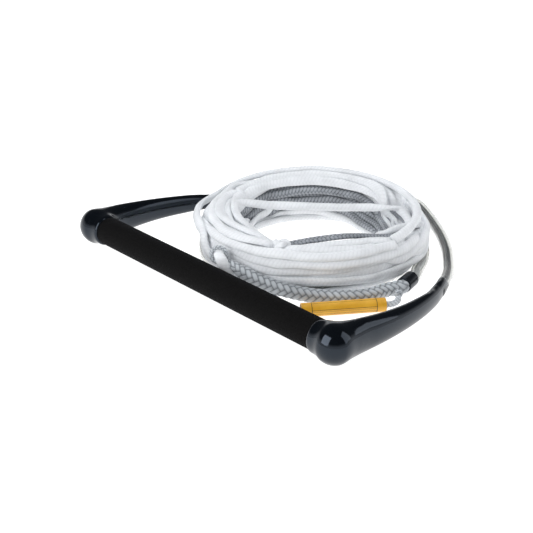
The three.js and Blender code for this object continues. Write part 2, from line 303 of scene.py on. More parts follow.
def turned(name, rows, start, axis, sides):
    """A body of revolution: rows are [distance along axis, radius] in metres, from start."""
    rows = np.array(rows, float)
    axis = unit(np.array(axis, float))
    side = unit(np.cross(axis, UP))
    up = np.cross(side, axis)
    around = circle_angles(sides)
    circle = side * np.cos(around)[:, None] + up * np.sin(around)[:, None]
    rings = start + axis * rows[:, 0, None, None] + circle * rows[:, 1, None, None]
    length = distance_along(np.hstack([rows, np.zeros((len(rows), 1))])) / UV_UNIT
    return grid_object(name, rings, length)


def rounded(rows, arc_steps=5):
    """A profile with its corners cut by short arcs: rows are (along, radius, corner)."""
    out = []
    rows = [np.array(r, float) for r in rows]
    for i, r in enumerate(rows):
        corner = r[2] if len(r) > 2 else 0.0
        if corner <= 0 or i in (0, len(rows) - 1):
            out.append(r[:2])
            continue
        before, after = unit(rows[i - 1][:2] - r[:2]), unit(rows[i + 1][:2] - r[:2])
        start, end = r[:2] + before * corner, r[:2] + after * corner
        for k in range(arc_steps + 1):
            f = k / arc_steps
            out.append((1 - f) ** 2 * start + 2 * f * (1 - f) * r[:2] + f * f * end)
    return np.array(out)


# ---------- routes, as the CAD lays them ----------
BAR_Z = 18.5
CAP_X = 170.5
CAP_RADIUS = 18.5
COIL = np.array([-5.0, 146.0])
ARM_LENGTH = 172.0


def arm_heading(u):
    """Which way the right arm points, at a share u of its length."""
    return math.radians(-10 + 31.8 * u + 9.2 * u ** 3)


def arm_centre(u, strips=60):
    x, y = CAP_X, 0.0
    for i in range(strips):
        heading = arm_heading(u * (i + 0.5) / strips)
        x -= math.sin(heading) * ARM_LENGTH * u / strips
        y += math.cos(heading) * ARM_LENGTH * u / strips
    return np.array([x, y, BAR_Z - 4.75 * u - 3.1 * u * u])


def arm_half(u):
    """Half the arm's height."""
    return 18.2 - 17.7 * u + 7.85 * u * u


APEX = np.array([-36.0, 311.0, 8.4])
LEGS = {
    "right": [
        [139.5, 180, 9.2], [128, 198, 7.5], [112, 218, 6.4], [92, 240, 6.2], [68, 262, 6.2],
        [42, 282, 6.2], [17, 299, 6.6], [2, 307, 7.5], [-9, 310.9, 8.3], [-17.7, 311, 8.4],
    ],
    "left": [
        [-139.5, 180, 9.2], [-134.5, 198, 7.8], [-134, 222, 6.5], [-138, 248, 6.2],
        [-135, 274, 6.2], [-121, 296, 6.2], [-100, 308, 6.4], [-78, 311.3, 7.6],
        [-63, 311.1, 8.3], [-54.3, 311, 8.4],
    ],
}
LEADER = [
    [102, 148, 8.4], [100, 136, 7], [97, 123.5, 6.2], [88, 110.5, 6.2], [75, 102.5, 6.2],
    [60, 99.6, 6.2], [30, 99.5, 6.2], [0, 99.5, 6.2], [-30, 99.7, 6.2], [-60, 100.4, 6.2],
    [-90, 102.8, 6.2], [-120, 108, 6.2], [-150, 111.2, 6.2], [-180, 112.2, 6.2],
    [-205, 113.4, 6.2], [-222, 116.4, 7], [-237, 121.5, 11], [-250, 126, 17], [-261, 128, 19.4],
    [-272, 126.2, 16], [-284, 120.5, 9], [-297, 115, 6.4], [-312, 112.3, 6.2], [-328, 112.2, 6.4],
    [-343, 115.2, 7.2],
]
FERRULE_BACK = np.array([115.4, 159.1, 8.0])
FERRULE_FRONT = np.array([120.4, 141.9, 8.0])
FERRULE_AXIS = unit(FERRULE_FRONT - FERRULE_BACK)
HANDLE_LINE = [
    [119.8, 130, 8.5], [117, 118, 9], [115, 104, 9.2], [110.8, 91.7, 9.4], [100.5, 78.5, 9.4],
    [89, 66.2, 9.8], [77.5, 56.2, 11], [65.1, 47.4, 13], [50, 38.7, 16], [36.5, 31.2, 20.5],
    [24, 26, 25], [19.5, 24.6, 27.2],
]
HITCH = np.array([0.5, 19.2, 36.0])
HITCH_FACING = unit(np.array([0.676, -0.61, 0.413]))
HITCH_RADIUS = 6.8
END_FLARE = (34, 1.25)  # the end strand spreads where it hangs from the hitch
# The end strand with its flat side's facing: down in front of the hitch, through it, and out.
END_STRAND = [
    [12, 21, 5, 0.74, -0.67, 0.05], [12, 20.8, 11, 0.74, -0.67, 0.05],
    [12.2, 20, 18, 0.74, -0.67, 0.05], [12.4, 17.9, 24.8, 0.74, -0.67, 0.1],
    [12, 14.6, 31.5, 0.74, -0.67, 0.3], [9.8, 13.8, 37, 0.5, -0.45, 0.75],
    [5.2, 15.6, 38.6, -0.1, 0.05, 0.99], [0.5, 19.2, 36, -0.31, 0.28, 0.91],
    [-4.8, 24.2, 30.5, -0.5, 0.1, 0.86], [-12, 27.2, 24.8, -0.3, -0.4, 0.86],
    [-20.8, 28.2, 24.8, 0, -0.8, 0.6], [-29.5, 28.9, 30, 0, -0.95, 0.3],
]
END_LOOP = [
    [-35.7, 31.4, 36], [-43, 35.8, 41], [-59, 43.9, 42.6], [-77, 55.3, 42.6], [-92, 68.2, 41],
    [-106.5, 86, 39.3], [-115.5, 103, 37.5], [-119, 113, 37.5],
]
LABEL_START = np.array([92.0, 37.2, 6.7])
LABEL_END = np.array([134.4, 101.6, 6.7])
LABEL = LABEL_END - LABEL_START
TAG_LINE = [
    [11.9, 30.4, 17.5], [26, 33.4, 14.5], [36, 38, 9.6], [43.4, 40.4, 7], [52, 40.6, 4.6],
    [60, 39.2, 4.2], [69.5, 36.4, 4.6], [79.5, 31.6, 5.4],
    *(LABEL_START + LABEL * f for f in (-0.07, 0.1, 0.5, 0.9, 1.07)),
    [137.9, 111.6, 6.8], [136.5, 116.3, 7.4], [134.2, 119.4, 8],
]
TAG_KNOT = np.array([130.1, 123.6, 9.0])


def polar(rows):
    """Rows of degrees about the coil's centre, radius and height, as bar millimetres."""
    rows = np.array(rows, float)
    angle = np.radians(rows[:, 0])
    return np.stack([COIL[0] + rows[:, 1] * np.cos(angle),
                     COIL[1] + rows[:, 1] * np.sin(angle), rows[:, 2]], 1)


apex_mouth = np.array([APEX[0], 295.7, APEX[2]])
leader_line = np.vstack([
    apex_mouth, polar(LEADER), FERRULE_BACK - FERRULE_AXIS * 8, FERRULE_BACK - FERRULE_AXIS * 0.3])

# ---------- the wound mainline ----------
ROPE_WIDTH = 8.8  # what a turn takes up in the winding, along its flat side
ROPE_THICK = 5.4
ANGLES = 120
NEAREST = 66  # fixed strands nearer the coil's centre are left out
THETA = -circle_angles(ANGLES)  # the turns run clockwise from above


def facing(degrees, width):
    """1 at an angle about the coil, falling to 0 at width degrees to each side."""
    off = (np.degrees(THETA) - degrees + 180) % 360 - 180
    return np.clip(0.5 + 0.5 * np.cos(math.pi * np.clip(off / width, -1, 1)), 0, 1)


AT_LEFT, AT_BACK = facing(-150, 75), facing(135, 80)
AT_RIGHT, AT_FRONT, AT_SLUMP = facing(25, 55), facing(-50, 75), facing(80, 48)
AT_LOOP = facing(-148, 42)  # where the loose loop stands off from the turns


def white_targets():
    """Half-section places of the white turns, (turns, angles, 2), from the outside inwards."""
    places = []

    def turn(radius, height):
        places.append(np.stack([radius + 0 * THETA, height + 0 * THETA], 1))

    for z in (46, 39.5, 33, 26.5, 20):
        turn(110, z)
    turn(109, 14 - 6 * AT_FRONT)
    for z in (17, 23.5, 30, 37, 43.5):
        turn(102.5, z)
    turn(100, 50.5)
    for z in (46.5, 40, 33.5, 27, 20.5):
        turn(95, z)
    for z in (14, 20.5):
        turn(88.5 + 12 * AT_FRONT - 4 * AT_SLUMP, z)
    for z in (4, 10):
        turn(86 - 8 * AT_LEFT - 9 * AT_SLUMP - 6 * AT_BACK, z)
    turn(80 + 4 * AT_FRONT - 12 * AT_SLUMP - 4 * AT_LEFT, 5)
    turn(82 + 10 * AT_FRONT - 6 * AT_SLUMP, 14.5 - 3 * AT_BACK)
    turn(87.5 + 4 * AT_FRONT - 8 * AT_LEFT, 31.5)
    turn(87.5 - 8 * AT_LEFT, 38.5)
    turn(87 + 6 * AT_FRONT - 5 * AT_LEFT - 3 * AT_BACK, 45.5)
    turn(92.5, 51.5)
    turn(84 + 10 * AT_FRONT + 14 * AT_RIGHT - 4 * AT_BACK - 2 * AT_LEFT, 50.5)
    return np.array(places)


def grey_targets():
    """The grey turns: a stack inside the white ones that slumps inwards at the back right."""
    places = []
    for k in range(8):
        f = k / 7
        z = 8 + 33 * f + AT_BACK * (16 - 14 * f) - AT_LEFT * 8 * f - AT_FRONT * 3 - AT_SLUMP * 3
        radius = (77.5 + 2.2 * (k % 2) + 8 * AT_LEFT + AT_SLUMP * (26 * f - 17)
                  + AT_RIGHT * (3 + 10 * f) + AT_FRONT * 5)
        places.append(np.stack([radius, z], 1))
    return np.array(places)


def turn_targets(places, rng, loose):
    """Each turn passes from its own place to the next one's; loose mixes their order."""
    order = np.argsort(np.arange(len(places) - 1) + rng.uniform(0, loose, len(places) - 1))
    places = places[np.r_[order, len(places) - 1, len(places) - 1]]
    f = np.arange(ANGLES) / ANGLES
    out = []
    for k in range(len(places) - 1):
        middle, width = rng.uniform(0.3, 0.7), rng.uniform(0.25, 0.55)
        ramp = np.clip((f - middle) / width + 0.5, 0, 1)
        ramp = (ramp * ramp * (3 - 2 * ramp))[:, None]
        out.append(places[k] * (1 - ramp) + places[k + 1] * ramp)
    return np.array(out)


def fixed_discs(lines):
    """Where fixed strands cut each half section: (angles, most, 3) of radius, height, size.
    Each line comes with a size and a radius inside which nothing may lie over it."""
    found = [[] for _ in range(ANGLES)]
    for line, size, lid in lines:
        dense = even(line, 1.0)
        off = dense[:, :2] - COIL
        radius = np.linalg.norm(off, axis=1)
        angle = np.round(-np.degrees(np.arctan2(off[:, 1], off[:, 0])) / 360 * ANGLES).astype(int)
        previous = None
        for r, z, i in zip(radius, dense[:, 2], angle % ANGLES):
            if r > NEAREST and i != previous:
                found[i].append((r, z, size))
                if r < lid:
                    found[i] += [(r, z + 4.5, size), (r, z + 9, size)]
            previous = i
    most = max(len(f) for f in found)
    discs = np.full((ANGLES, most, 3), np.nan)
    for i, f in enumerate(found):
        if f:
            discs[i, :len(f)] = f
    return discs


def section_normal(x):
    """The flat side of a turn faces out of the bundle."""
    return unit((x - [97.0, 25.0]) / [22.0, 26.0])


PULL, SAG = 0.035, 0.03  # each step, towards the target and downwards
SMOOTHING, LAST_SMOOTHING = 0.45, 0.2
STEPS, LAST_STEPS = 300, 12


def wind(fixed, rim):
    """Settles the turns: they keep off each other and the fixed strands, and below the rim."""
    rng = np.random.default_rng(SEED)
    white = turn_targets(white_targets(), rng, 4.0)
    grey = turn_targets(grey_targets(), rng, 1.5)
    target = np.concatenate([white, grey])
    sets = [slice(0, len(white)), slice(len(white), len(target))]
    x = target.copy()
    for part in sets:
        count = x[part].shape[0] * ANGLES
        for axis, spread in ((0, 3.2), (1, 3.0)):
            for spacing, share in ((ANGLES * 0.42, 1.0), (ANGLES * 0.13, 0.6)):
                wander = smooth_noise(count, spacing, rng, spread * share)
                x[part, :, axis] += wander.reshape(-1, ANGLES)
    target = 0.45 * target + 0.55 * x
    roof = 50.5 + 4.5 * AT_BACK - 2.0 * AT_LEFT - 1.0 * AT_FRONT
    inner = 71.0 - 13.0 * AT_SLUMP + 7.0 * AT_RIGHT
    outer = 112.8 + 1.2 * AT_FRONT - 6.5 * AT_LOOP
    centre = np.stack([(inner + outer) / 2, roof / 2], 1)
    half = np.stack([(outer - inner) / 2, roof / 2], 1)
    for step in range(STEPS):
        x += PULL * (target - x)
        x[..., 1] -= SAG
        bend = SMOOTHING if step < STEPS - LAST_STEPS else LAST_SMOOTHING
        for part in sets:
            flat = x[part].reshape(-1, 2)
            middle = (flat[:-2] + flat[2:]) / 2
            flat[1:-1] += bend * (middle - flat[1:-1])
            x[part] = flat.reshape(x[part].shape)
        p = np.swapaxes(x, 0, 1)  # angles, turns, 2
        n = section_normal(p)
        # turns push each other apart, to a flat rope's width and thickness
        d = p[:, :, None] - p[:, None]
        shared = unit(n[:, :, None] + n[:, None] + 1e-6)
        dn = (d * shared).sum(-1)
        dt = d[..., 0] * shared[..., 1] - d[..., 1] * shared[..., 0]
        q = np.sqrt((dn / ROPE_THICK) ** 2 + (dt / ROPE_WIDTH) ** 2) + np.eye(len(x)) * 9
        push = np.clip(1 / np.maximum(q, 0.15) - 1, 0, 2.0)[..., None] * d * 0.32
        shift = np.clip(push.sum(2), -1.6, 1.6)
        # and keep off the fixed strands
        e = p[:, :, None] - fixed[:, None, :, :2]
        gap = np.linalg.norm(e, axis=-1)
        over = np.nan_to_num(np.clip(fixed[:, None, :, 2] + ROPE_THICK / 2 + 0.4 - gap, 0, 5))
        shift += np.nan_to_num(e / np.maximum(gap, 0.5)[..., None] * over[..., None]).sum(2) * 0.6
        p = p + shift
        # they stay inside a rounded box, below the grey strand on the rim, and off the floor
        out = np.abs((p - centre[:, None]) / half[:, None])
        out = (out ** 3).sum(-1) ** (1 / 3)
        inside = centre[:, None] + (p - centre[:, None]) / np.maximum(out, 1)[..., None]
        p = p + (inside - p) * 0.35
        outside = p[..., 0] - rim[:, None, 0]
        top = rim[:, None, 1]
        bevel = np.where(outside > -3, top - 7.5 + 0.45 * outside, top - 9)
        p[..., 1] -= np.nan_to_num(np.clip(p[..., 1] - bevel, 0, 4)) * 0.6
        p[..., 1] = np.maximum(p[..., 1], 0.4 + 5.0 * np.abs(n[..., 0]) + 3.0 * np.abs(n[..., 1]))
        x = np.swapaxes(p, 0, 1).copy()
    return x[sets[0]], x[sets[1]]


def ring_line(sequence):
    """Half-section places of successive turns as a line in millimetres, with its flat normals."""
    flat = sequence.reshape(-1, 2)
    angle = -np.arange(len(flat)) / ANGLES * 2 * math.pi
    n = section_normal(flat)
    window = np.hanning(13)
    window /= window.sum()
    n = np.stack([np.convolve(np.pad(n[:, k], 6, mode="edge"), window, "valid")
                  for k in range(2)], 1)
    c, s = np.cos(angle), np.sin(angle)
    line = np.stack([COIL[0] + flat[:, 0] * c, COIL[1] + flat[:, 0] * s, flat[:, 1]], 1)
    return np.hstack([line, np.stack([n[:, 0] * c, n[:, 0] * s, n[:, 1]], 1)])


# The last strand comes out of the right rim, crosses the opening, and turns along the front.
CROSSING = np.vstack([
    polar([[30, 97, 24], [39, 98, 30], [47, 94.5, 37], [53, 86, 43.5]]),
    [[41, 202.5, 46.3], [29, 190.5, 46.5], [5.1, 170, 45], [-21, 146.5, 45],
     [-44, 120, 46.4], [-55.5, 108.5, 48], [-60, 98.5, 49.5], [-56.5, 88.5, 50.3],
     [-46, 79.5, 50.2], [-31, 71.5, 49.3], [-14, 66.3, 48.2], [4, 62.2, 47], [21, 59.4, 45.8],
     [36, 58, 45]],
])
# One grey strand lies along the inner edge of the front rim.
RIM_GREY = polar([
    [68, 87, 34], [54, 92, 33], [38, 95, 32], [27, 89.5, 33], [14, 84, 36], [2, 77, 40],
    [-12, 73.5, 44.3], [-26, 74, 46.5], [-39, 76.5, 46.5], [-51, 81, 45.5], [-59, 88, 44.5],
    [-66, 93, 42],
])
# A white strand's tail comes in over the grey one at the right.
STRAY = polar([
    [50, 106, 27], [44, 106, 32], [38, 103.5, 37], [32, 98, 40.5], [26, 90.5, 41],
    [19, 81.5, 38.5], [13, 75, 35], [4, 73, 30], [-9, 75, 25], [-22, 78, 20],
])
END_TOP = polar([
    [186, 117.5, 40.5], [176, 113.5, 45.5], [166, 107, 50], [155, 100, 53.5], [142, 96, 55.5],
    [130, 94.5, 56], [110, 94.5, 55.5], [90, 95.5, 54.5], [70, 97.5, 53.5], [50, 101, 52],
    [30, 104, 50.5], [12, 105.5, 48.5], [0, 105.5, 46],
])
END_LINE = np.vstack([np.array(END_STRAND)[:, :3], END_LOOP, END_TOP])

leader_spline = spline(leader_line)
rim = fixed_discs([(spline(RIM_GREY), 0, 0)])[:, 0]
fixed = fixed_discs([
    (leader_spline, 6.2, 0), (spline(CROSSING), 3.2, 97), (spline(RIM_GREY), 2.9, 200),
    (spline(STRAY), 3.0, 97), (spline(END_LINE), 3.2, 200),
])
white_turns, grey_turns = wind(fixed, rim)

WHITE_WEAVE = (4, 3.9, 0)
SECTIONS = 5
white_line = ring_line(white_turns)
cuts = np.linspace(0, len(white_line) - 1, SECTIONS + 1).round().astype(int)
cords = []

for k in range(SECTIONS):
    part = white_line[cuts[k]:cuts[k + 1] + 1]
    obj, path = rope(f"mainline_white_{k + 1}", part, 4.7, 2.85, 20, 1.0, WHITE_WEAVE, 0.17,
                     wobble=0.1, seed=k)
    cords.append((obj, path, 0.009, "object"))
grey_line = ring_line(grey_turns)
obj, path = rope("mainline_grey", grey_line, 4.2, 2.8, 20, 1.0, WHITE_WEAVE, 0.55,
                 wobble=0.06, seed=11)
cords.append((obj, path, 0.0085, "object"))


def facing_out(line):
    """The line with its flat side out of the bundle, and up where it crosses the opening."""
    off = line[:, :2] - COIL
    radius = np.linalg.norm(off, axis=1)
    n = section_normal(np.stack([np.maximum(radius, 88.0), line[:, 2]], 1))
    n[:, 1] = np.maximum(n[:, 1], 0.25)
    over = np.clip((radius - 58) / 14, 0, 1)[:, None]
    outward = np.hstack([off / radius[:, None] * n[:, :1], n[:, 1:]])
    return np.hstack([line, unit(outward * over + np.array([0.35, -0.32, 0.8]) * (1 - over))])


end_line = np.vstack([END_STRAND, facing_out(END_LINE)[len(END_STRAND):]])
for name, line, width, seed, taper in (
        ("mainline_crossing_strand", facing_out(CROSSING), 4.7, 21, None),
        ("mainline_grey_rim", facing_out(RIM_GREY), 4.1, 22, None),
        ("mainline_white_stray", facing_out(STRAY), 4.4, 23, None),
        ("mainline_end_strand", end_line[::-1], 4.6, 24, END_FLARE)):
    obj, path = rope(name, line, width, 2.9, 20, 0.9, WHITE_WEAVE, 0.22, wobble=0.08, seed=seed,
                     taper=taper)
    cords.append((obj, path, 2 * width * MM, "knot" if "crossing" in name else "object"))

# ---------- leader, handle line and tag line ----------
leader_sleeve = sleeve("leader_tube", leader_spline, 2.5)
leader_core_line = np.vstack([apex_mouth + [0, 5, 0], leader_line, FERRULE_BACK + FERRULE_AXIS * 7])
leader_core, leader_path = rope("leader_rope_core", leader_core_line, 3.3, 3.3, 20, 1.0,
                                (4, 4.2, 0), 0.5)
handle_line_points = np.vstack([
    FERRULE_FRONT - FERRULE_AXIS * 3, FERRULE_FRONT + FERRULE_AXIS * 0.3,
    FERRULE_FRONT + FERRULE_AXIS * 5, HANDLE_LINE, [[15.2, 23.4, 30], [10.8, 22.8, 33.2]]])
handle_line, handle_path = rope("handle_line_braid", handle_line_points, 7.1, 6.6, 56, 0.45,
                                (6, 6.4, 0.3), 1.3, taper=(22, 0.5))
tag_line, tag_path = rope("tag_line_cord", TAG_LINE, 2.9, 2.9, 20, 0.55, (4, 3.2, 0), 0.45)

ring = np.linspace(0, 2 * math.pi, 61)[:-1, None]
ring_side = unit(np.cross(UP, HITCH_FACING))
ring_up = np.cross(HITCH_FACING, ring_side)
torus_line = HITCH + HITCH_RADIUS * (np.cos(ring) * ring_side + np.sin(ring) * ring_up)


def looped(name, line, radius, sides, weave, depth):
    """A closed braided ring."""
    line = to_row(np.vstack([line, line[:1]]))
    dense = even(spline(line), 0.5 * MM)[:-1]
    t = unit(np.roll(dense, -1, 0) - np.roll(dense, 1, 0))
    n = squared(np.tile(UP, (len(dense), 1)), t)
    along = distance_along(dense)
    whole = along[-1] + np.linalg.norm(dense[0] - dense[-1])
    carriers, pitch, pair = weave
    pitch = whole / round(whole / (pitch * MM))
    height = braid(along[:, None], circle_angles(sides), carriers, pitch, pair)
    r = radius * MM + depth * MM * (height - BRAID_MIDDLE)
    rings = dense[:, None] + r[..., None] * round_section(np.cross(t, n), n, sides)
    return grid_object(name, rings, along / UV_UNIT, closed=True, relief=height)


hitch_loop = looped("handle_line_hitch", torus_line, 2.1, 20, (4, 3.4, 0), 0.5)


def knot_line(centre, size, flat, turn=0.0, count=90):
    """A closed three-lobed knot about a point."""
    t = circle_angles(count)
    x, y = np.sin(t) + 2 * np.sin(2 * t), np.cos(t) - 2 * np.cos(2 * t)
    c, s = math.cos(turn), math.sin(turn)
    return np.stack([centre[0] + size * (x * c - y * s), centre[1] + size * (x * s + y * c),
                     centre[2] - flat * np.sin(3 * t)], 1)


tag_knot = looped("tag_line_knot", knot_line(TAG_KNOT, 0.8, 1.5), 1.9, 18, (4, 3.0, 0), 0.4)
end_knot = looped("mainline_end_knot", knot_line(CROSSING[-1] + [4.5, 2.5, 1.5], 2.0, 1.8, 0.5),
                  3.4, 20, (4, 3.6, 0), 0.3)

# ---------- bridle legs ----------
TO_WALL, EASE = 1.45, 40  # how far a leg's rope lies off its sleeve's middle, and the ease-in
sleeves, legs = {}, {}
for side, sign in SIDES:
    tip = arm_centre(1.0) * [sign, 1, 1]
    inside = [arm_centre(u) * [sign, 1, 1] for u in (0.88, 0.94)]
    leg = np.array(LEGS[side], float)
    route = spline(np.vstack([inside, tip, leg]))
    deep = 7 if side == "left" else -7
    rope_route = spline(np.vstack([inside, tip, leg, leg[-1] + [deep, 0, 0]]))
    t = tangents(rope_route)
    across = unit(np.cross(t, UP))
    inward = COIL - rope_route[:, :2]
    across = across * np.sign((across[:, :2] * inward).sum(1))[:, None]
    along = distance_along(rope_route)
    ease = np.clip(along / EASE, 0, 1) * np.clip((along[-1] - along) / EASE, 0, 1)
    rope_route = rope_route + across * (TO_WALL * ease)[:, None]
    sleeves[side] = sleeve(f"bridle_tube_{side}", route, 2)
    legs[side], _ = rope(f"bridle_cord_{side}", rope_route[::6], 3.6, 3.6, 24, 0.7,
                         (4, 4.4, 0), 0.6)


# ---------- caps and arms, each one moulding ----------
def closed_rings(rings):
    """Vertices and faces of a loft with a fan at each end."""
    count, sides = rings.shape[:2]
    vertices = np.vstack([rings.reshape(-1, 3), rings[0].mean(0), rings[-1].mean(0)])
    faces = []
    for r in range(count - 1):
        for i in range(sides):
            j = (i + 1) % sides
            faces.append([r * sides + i, r * sides + j, (r + 1) * sides + j, (r + 1) * sides + i])
    near, far = count * sides, count * sides + 1
    last = (count - 1) * sides
    for i in range(sides):
        j = (i + 1) % sides
        faces.append([j, i, near])
        faces.append([last + i, last + j, far])
    return vertices, faces


def remeshed(name, ring_sets, voxel):
    """One skin over several lofts, whose rings are in bar millimetres."""
    vertices, faces, base = [], [], 0
    for rings in ring_sets:
        v, f = closed_rings(rings)
        vertices.append(to_row(v))
        faces += [[i + base for i in face] for face in f]
        base += len(v)
    mesh = bpy.data.meshes.new(name + "_parts")
    mesh.from_pydata(np.vstack(vertices).tolist(), [], faces)
    source = linked(name + "_parts", mesh)
    modifier = source.modifiers.new("skin", "REMESH")
    modifier.mode = "VOXEL"
    modifier.voxel_size = voxel
    skin = bpy.data.meshes.new_from_object(
        source.evaluated_get(bpy.context.evaluated_depsgraph_get()))
    bpy.data.objects.remove(source)
    skin.name = name
    return linked(name, skin)


def relax(obj, rounds, weight=None):
    """Evens the mesh out; weight says how much at each vertex."""
    mesh = obj.data
    co = np.zeros(len(mesh.vertices) * 3)
    mesh.vertices.foreach_get("co", co)
    co = co.reshape(-1, 3)
    edge = np.zeros(len(mesh.edges) * 2, np.int32)
    mesh.edges.foreach_get("vertices", edge)
    edge = edge.reshape(-1, 2)
    both = np.concatenate([edge, edge[:, ::-1]])
    count = np.bincount(both[:, 0], minlength=len(co))[:, None]
    for step in range(rounds):
        total = np.stack([np.bincount(both[:, 0], co[both[:, 1], k], len(co))
                          for k in range(3)], 1)
        amount = 0.5 if step % 2 == 0 or weight is not None else -0.52
        share = 1.0 if weight is None else weight(co)[:, None]
        co = co + (total / count - co) * amount * share
    mesh.vertices.foreach_set("co", co.astype(np.float32).ravel())
    mesh.shade_smooth()
    mesh.update()


def moulding(side, sign):
    around = circle_angles(48)
    rings = []
    for u in np.r_[0.03, np.linspace(0.05, 0.975, 44), 0.982, 0.989, 0.995, 1.0]:
        centre = arm_centre(u)
        heading = arm_heading(u)
        sideways = np.array([math.cos(heading), math.sin(heading), 0.0])
        end = math.sqrt(1 - 0.45 * max(0.0, (u - 0.978) / 0.022) ** 2)
        half = arm_half(u) * end
        root = max(0.0, 1 - u / 0.2)
        ratio = 0.67 + 0.28 * root * root * (3 - 2 * root)
        rings.append(centre + sideways * (half * ratio * np.cos(around))[:, None]
                     + UP * (half * np.sin(around))[:, None])
    arm = np.array(rings)
    rows = [[151.8, 14.6], [152.6, 15.4], [155, 15.9], [159, 16.0]]
    for degrees in range(-30, 91, 5):
        angle = math.radians(degrees)
        rows.append([CAP_X + CAP_RADIUS * math.sin(angle),
                     max(CAP_RADIUS * math.cos(angle), 0.05)])
    cap = np.array([[[x, r * math.cos(a), BAR_Z + r * math.sin(a)] for a in around]
                    for x, r in rows])
    obj = remeshed(f"cap_and_arm_{side}", [r * [sign, 1, 1] for r in (arm, cap)], 1.0 * MM)
    ball = to_row([sign * CAP_X, 0, BAR_Z])

    def neck(co):
        """Most where the ball meets arm and collar."""
        away = np.linalg.norm((co - ball) / MM, axis=1)
        forward = (co[:, 1] - ball[1]) / MM
        front = np.clip(1 - np.abs(away - 20) / 13, 0, 1) * np.clip((forward + 4) / 8, 0, 1)
        inward = CAP_X - np.abs(co[:, 0]) / MM
        collar = np.clip(1 - np.abs(inward - 10) / 7, 0, 1)
        return np.maximum(front, 0.7 * collar)

    relax(obj, 90, neck)
    relax(obj, 10)
    return obj


mouldings = {side: moulding(side, sign) for side, sign in SIDES}

# ---------- grip, label, ferrule, apex ----------
grip = turned("grip_foam_sleeve", rounded([
    (0.0, 0.0114), (0.0, 0.0142, 0.0012), (0.303, 0.0142, 0.0012), (0.303, 0.0114),
]), to_row([-151.5, 0, BAR_Z]), (1, 0, 0), 128)
label_length = float(np.linalg.norm(LABEL)) * MM
label = turned("label_tube", rounded([
    (0.0, 0.0050), (0.0, 0.0064, 0.0004), (label_length, 0.0064, 0.0004), (label_length, 0.0050),
    (0.0, 0.0050),
]), to_row(LABEL_START), LABEL, 96)
ferrule_length = float(np.linalg.norm(FERRULE_FRONT - FERRULE_BACK)) * MM
ferrule = turned("leader_collar", rounded([
    (0.0, 0.0050), (0.0, 0.0075, 0.0008), (ferrule_length, 0.0075, 0.0008),
    (ferrule_length, 0.0050),
]), to_row(FERRULE_BACK), FERRULE_AXIS, 64)


def apex_shape():
    around = circle_angles(40)
    rows = [[-18, 6.6], [-17.6, 7.4], [-16.5, 8], [16.5, 8], [17.6, 7.4], [18, 6.6]]
    bar = np.array([[[APEX[0] + x, APEX[1] + r * math.cos(a), APEX[2] + r * math.sin(a)]
                     for a in around] for x, r in rows])
    rows = [[0, 7.4], [-13.6, 7.4], [-14.6, 7.0], [-15, 6.4]]
    stem = np.array([[[APEX[0] + r * math.cos(a), APEX[1] + y, APEX[2] + r * math.sin(a)]
                      for a in -around] for y, r in rows])
    obj = remeshed("apex_moulding", [bar, stem], 0.7 * MM)
    centre = to_row(APEX)

    def crotch(co):
        off = np.abs(co - centre) / MM
        return np.clip(1 - np.abs(off[:, 1] - 8) / 5, 0, 1) * np.clip(1 - off[:, 0] / 15, 0, 1)

    relax(obj, 30, crotch)
    relax(obj, 8)
    return obj


apex = apex_shape()


# ---------- materials ----------
def new_material(name):
    material = bpy.data.materials.new(name)
    material.use_nodes = True
    tree = material.node_tree
    return material, tree, tree.nodes["Principled BSDF"]


def new_node(tree, kind):
    return tree.nodes.new("ShaderNode" + kind)


def set_inputs(node, values):
    for name, value in values.items():
        node.inputs[name].default_value = value


def add_bump(tree, shader, height, strength, distance):
    bump = new_node(tree, "Bump")
    set_inputs(bump, {"Strength": strength, "Distance": distance})
    tree.links.new(height, bump.inputs["Height"])
    tree.links.new(bump.outputs["Normal"], shader.inputs["Normal"])


def noise(tree, scale, detail=3.0, vector=None, stretch=None):
    texture = new_node(tree, "TexNoise")
    set_inputs(texture, {"Scale": scale, "Detail": detail})
    if vector is None:
        vector = new_node(tree, "TexCoord").outputs["Object"]
    if stretch is not None:
        mapping = new_node(tree, "Mapping")
        mapping.inputs["Scale"].default_value = stretch
        tree.links.new(vector, mapping.inputs["Vector"])
        vector = mapping.outputs["Vector"]
    tree.links.new(vector, texture.inputs["Vector"])
    return texture.outputs["Fac"]


def ramp(tree, value, low, high, colour_low, colour_high):
    node = new_node(tree, "ValToRGB")
    node.color_ramp.elements[0].position = low
    node.color_ramp.elements[0].color = (*colour_low, 1)
    node.color_ramp.elements[1].position = high
    node.color_ramp.elements[1].color = (*colour_high, 1)
    tree.links.new(value, node.inputs["Fac"])
    return node.outputs["Color"]


def rope_material(name, crease_shade, crown, tone, rough=0.75):
    """Colour from the weave's height, with painted shade where the weave dips; tone is how much
    darker the patches along it get.
    """
    material, tree, shader = new_material(name)
    uv = new_node(tree, "UVMap")
    uv.uv_map = "UVMap"
    fibres = noise(tree, 6.0, 4.0, uv.outputs["UV"], (14.0, 5.0, 1.0))
    relief = new_node(tree, "Attribute")
    relief.attribute_name = "relief"
    # painted shade: the weave's creases take the darker colour, its crowns the lighter one
    base = ramp(tree, relief.outputs["Fac"], 0.15, 0.75, crease_shade, crown)
    patch = noise(tree, 55.0, 2.0)
    shade = ramp(tree, patch, 0.3, 0.7, (1 - tone,) * 3, (1.0, 1.0, 1.0))
    mix = new_node(tree, "Mix")
    mix.data_type = "RGBA"
    mix.blend_type = "MULTIPLY"
    mix.inputs[0].default_value = 1.0
    tree.links.new(base, mix.inputs[6])
    tree.links.new(shade, mix.inputs[7])
    tree.links.new(mix.outputs[2], shader.inputs["Base Color"])
    set_inputs(shader, {"Roughness": rough, "Specular IOR Level": 0.35})
    add_bump(tree, shader, fibres, 0.35, 0.0004)
    return material
